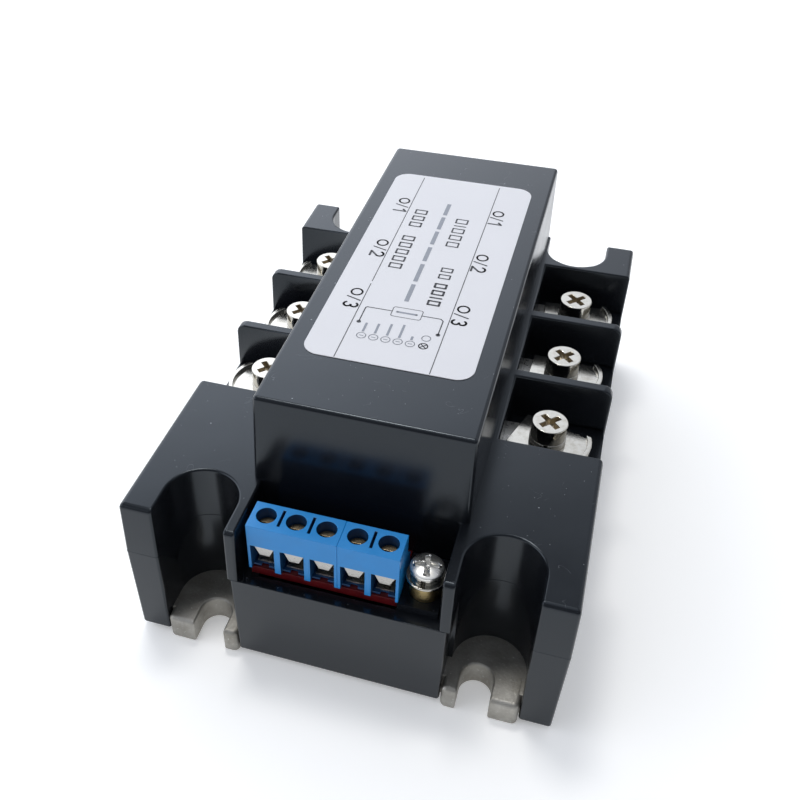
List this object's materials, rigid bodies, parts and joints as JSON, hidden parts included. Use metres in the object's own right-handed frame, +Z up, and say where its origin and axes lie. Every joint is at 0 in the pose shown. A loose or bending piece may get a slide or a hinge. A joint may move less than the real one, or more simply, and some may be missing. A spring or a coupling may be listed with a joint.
{
  "type": "three-phase solid state relay",
  "caption": "Three-phase solid state relay: black moulded case on a metal base with mounting slots, screw-clamp power terminals down both sides and a control terminal strip.",
  "frame": {"origin": "middle of the base plate underside", "axes": "+X across the relay towards the line terminals, +Y along it away from the control terminals, +Z up from the mounting face"},
  "size_m": [0.074, 0.105, 0.0476],
  "materials": {
    "cover_plastic": "moulded, semi-gloss",
    "housing_plastic": "moulded, semi-gloss",
    "base_metal": "cast and tumbled",
    "label_film": "printed film",
    "nickel_plate": "bright nickel",
    "spring_steel": "plated spring steel",
    "zinc_steel": "zinc plated",
    "tinned_metal": "tin plated",
    "gold_steel": "yellow passivated",
    "brass": "turned",
    "blue_plastic": "moulded, semi-gloss",
    "red_circuit_board": "solder mask",
    "green_circuit_board": "solder mask",
    "white_ceramic": "fired ceramic",
    "silicon": "polished die",
    "copper_lead": "plated wire",
    "dark_plastic": "moulded",
    "ferrite": "sintered",
    "capacitor_sleeve": "shrink sleeve",
    "resistor_body": "lacquered"
  },
  "bodies": {
    "root": {"base_plate": "base_metal", "board_link": "dark_plastic", "board_posts": "dark_plastic", "ceramic_substrates": "white_ceramic", "control_block_2way": "blue_plastic", "control_block_3way": "blue_plastic", "control_board": "red_circuit_board", "control_contacts": "tinned_metal", "controller_chip": "dark_plastic", "filter_capacitors": "capacitor_sleeve", "gate_leads": "copper_lead", "housing_screws": "zinc_steel", "line_busbar_1": "tinned_metal", "line_busbar_2": "tinned_metal", "line_busbar_3": "tinned_metal", "load_busbar_1": "tinned_metal", "load_busbar_2": "tinned_metal", "load_busbar_3": "tinned_metal", "lower_housing": "housing_plastic", "neutral_standoff": "brass", "pulse_transformers": "ferrite", "rating_label": "label_film", "snubber_resistors": "resistor_body", "terminal_nuts": "zinc_steel", "thyristor_chips": "silicon", "trigger_board": "green_circuit_board", "upper_cover": "cover_plastic"},
    "line_clamp_set_1": {"line_clamp_1": "nickel_plate", "line_lock_washer_1": "spring_steel"},
    "line_terminal_screw_1": {"line_screw_1": "nickel_plate"},
    "line_clamp_set_2": {"line_clamp_2": "nickel_plate", "line_lock_washer_2": "spring_steel"},
    "line_terminal_screw_2": {"line_screw_2": "nickel_plate"},
    "line_clamp_set_3": {"line_clamp_3": "nickel_plate", "line_lock_washer_3": "spring_steel"},
    "line_terminal_screw_3": {"line_screw_3": "nickel_plate"},
    "load_clamp_set_1": {"load_clamp_1": "nickel_plate", "load_lock_washer_1": "spring_steel"},
    "load_terminal_screw_1": {"load_screw_1": "nickel_plate"},
    "load_clamp_set_2": {"load_clamp_2": "nickel_plate", "load_lock_washer_2": "spring_steel"},
    "load_terminal_screw_2": {"load_screw_2": "nickel_plate"},
    "load_clamp_set_3": {"load_clamp_3": "nickel_plate", "load_lock_washer_3": "spring_steel"},
    "load_terminal_screw_3": {"load_screw_3": "nickel_plate"},
    "neutral_washers": {"neutral_washer": "nickel_plate", "neutral_lock_washer": "nickel_plate"},
    "neutral_terminal_screw": {"neutral_screw": "nickel_plate"},
    "wire_guard_leaf_1": {"wire_guard_1": "tinned_metal"},
    "control_terminal_screw_1": {"control_screw_1": "gold_steel"},
    "wire_guard_leaf_2": {"wire_guard_2": "tinned_metal"},
    "control_terminal_screw_2": {"control_screw_2": "gold_steel"},
    "wire_guard_leaf_3": {"wire_guard_3": "tinned_metal"},
    "control_terminal_screw_3": {"control_screw_3": "gold_steel"},
    "wire_guard_leaf_4": {"wire_guard_4": "tinned_metal"},
    "control_terminal_screw_4": {"control_screw_4": "gold_steel"},
    "wire_guard_leaf_5": {"wire_guard_5": "tinned_metal"},
    "control_terminal_screw_5": {"control_screw_5": "gold_steel"}
  },
  "joints": [
    {"name": "line_clamp_1_lift", "type": "slide", "parent": "root", "child": "line_clamp_set_1", "axis": [0, 0, 1], "range_m": [0, 0.0028]},
    {"name": "line_screw_1_turn", "type": "hinge", "parent": "line_clamp_set_1", "child": "line_terminal_screw_1", "pos_m": [0.0269, 0.031, 0.0259], "axis": [0, 0, 1], "range_deg": [0, 1440]},
    {"name": "line_clamp_2_lift", "type": "slide", "parent": "root", "child": "line_clamp_set_2", "axis": [0, 0, 1], "range_m": [0, 0.0028]},
    {"name": "line_screw_2_turn", "type": "hinge", "parent": "line_clamp_set_2", "child": "line_terminal_screw_2", "pos_m": [0.0269, 0.011, 0.0259], "axis": [0, 0, 1], "range_deg": [0, 1440]},
    {"name": "line_clamp_3_lift", "type": "slide", "parent": "root", "child": "line_clamp_set_3", "axis": [0, 0, 1], "range_m": [0, 0.0028]},
    {"name": "line_screw_3_turn", "type": "hinge", "parent": "line_clamp_set_3", "child": "line_terminal_screw_3", "pos_m": [0.0269, -0.009, 0.0259], "axis": [0, 0, 1], "range_deg": [0, 1440]},
    {"name": "load_clamp_1_lift", "type": "slide", "parent": "root", "child": "load_clamp_set_1", "axis": [0, 0, 1], "range_m": [0, 0.0028]},
    {"name": "load_screw_1_turn", "type": "hinge", "parent": "load_clamp_set_1", "child": "load_terminal_screw_1", "pos_m": [-0.0269, 0.031, 0.0259], "axis": [0, 0, 1], "range_deg": [0, 1440]},
    {"name": "load_clamp_2_lift", "type": "slide", "parent": "root", "child": "load_clamp_set_2", "axis": [0, 0, 1], "range_m": [0, 0.0028]},
    {"name": "load_screw_2_turn", "type": "hinge", "parent": "load_clamp_set_2", "child": "load_terminal_screw_2", "pos_m": [-0.0269, 0.011, 0.0259], "axis": [0, 0, 1], "range_deg": [0, 1440]},
    {"name": "load_clamp_3_lift", "type": "slide", "parent": "root", "child": "load_clamp_set_3", "axis": [0, 0, 1], "range_m": [0, 0.0028]},
    {"name": "load_screw_3_turn", "type": "hinge", "parent": "load_clamp_set_3", "child": "load_terminal_screw_3", "pos_m": [-0.0269, -0.009, 0.0259], "axis": [0, 0, 1], "range_deg": [0, 1440]},
    {"name": "neutral_washers_lift", "type": "slide", "parent": "root", "child": "neutral_washers", "axis": [0, 0, 1], "range_m": [0, 0.0025]},
    {"name": "neutral_screw_turn", "type": "hinge", "parent": "neutral_washers", "child": "neutral_terminal_screw", "pos_m": [0.0132, -0.0466, 0.0265], "axis": [0, 0, 1], "range_deg": [0, 1800]},
    {"name": "wire_guard_1_drop", "type": "slide", "parent": "root", "child": "wire_guard_leaf_1", "axis": [0, 0, -1], "range_m": [0, 0.0015]},
    {"name": "control_screw_1_turn", "type": "hinge", "parent": "wire_guard_leaf_1", "child": "control_terminal_screw_1", "pos_m": [-0.0128, -0.0474, 0.0282], "axis": [0, 0, -1], "range_deg": [0, 1080]},
    {"name": "wire_guard_2_drop", "type": "slide", "parent": "root", "child": "wire_guard_leaf_2", "axis": [0, 0, -1], "range_m": [0, 0.0015]},
    {"name": "control_screw_2_turn", "type": "hinge", "parent": "wire_guard_leaf_2", "child": "control_terminal_screw_2", "pos_m": [-0.0078, -0.0474, 0.0282], "axis": [0, 0, -1], "range_deg": [0, 1080]},
    {"name": "wire_guard_3_drop", "type": "slide", "parent": "root", "child": "wire_guard_leaf_3", "axis": [0, 0, -1], "range_m": [0, 0.0015]},
    {"name": "control_screw_3_turn", "type": "hinge", "parent": "wire_guard_leaf_3", "child": "control_terminal_screw_3", "pos_m": [-0.0028, -0.0474, 0.0282], "axis": [0, 0, -1], "range_deg": [0, 1080]},
    {"name": "wire_guard_4_drop", "type": "slide", "parent": "root", "child": "wire_guard_leaf_4", "axis": [0, 0, -1], "range_m": [0, 0.0015]},
    {"name": "control_screw_4_turn", "type": "hinge", "parent": "wire_guard_leaf_4", "child": "control_terminal_screw_4", "pos_m": [0.0022, -0.0474, 0.0282], "axis": [0, 0, -1], "range_deg": [0, 1080]},
    {"name": "wire_guard_5_drop", "type": "slide", "parent": "root", "child": "wire_guard_leaf_5", "axis": [0, 0, -1], "range_m": [0, 0.0015]},
    {"name": "control_screw_5_turn", "type": "hinge", "parent": "wire_guard_leaf_5", "child": "control_terminal_screw_5", "pos_m": [0.0072, -0.0474, 0.0282], "axis": [0, 0, -1], "range_deg": [0, 1080]}
  ],
  "couplings": [
    {"joint": "line_screw_1_turn", "follows": "line_clamp_1_lift", "rad_per_m": 8976},
    {"joint": "line_screw_2_turn", "follows": "line_clamp_2_lift", "rad_per_m": 8976},
    {"joint": "line_screw_3_turn", "follows": "line_clamp_3_lift", "rad_per_m": 8976},
    {"joint": "load_screw_1_turn", "follows": "load_clamp_1_lift", "rad_per_m": 8976},
    {"joint": "load_screw_2_turn", "follows": "load_clamp_2_lift", "rad_per_m": 8976},
    {"joint": "load_screw_3_turn", "follows": "load_clamp_3_lift", "rad_per_m": 8976},
    {"joint": "neutral_screw_turn", "follows": "neutral_washers_lift", "rad_per_m": 12566},
    {"joint": "control_screw_1_turn", "follows": "wire_guard_1_drop", "rad_per_m": 12566},
    {"joint": "control_screw_2_turn", "follows": "wire_guard_2_drop", "rad_per_m": 12566},
    {"joint": "control_screw_3_turn", "follows": "wire_guard_3_drop", "rad_per_m": 12566},
    {"joint": "control_screw_4_turn", "follows": "wire_guard_4_drop", "rad_per_m": 12566},
    {"joint": "control_screw_5_turn", "follows": "wire_guard_5_drop", "rad_per_m": 12566}
  ]
}
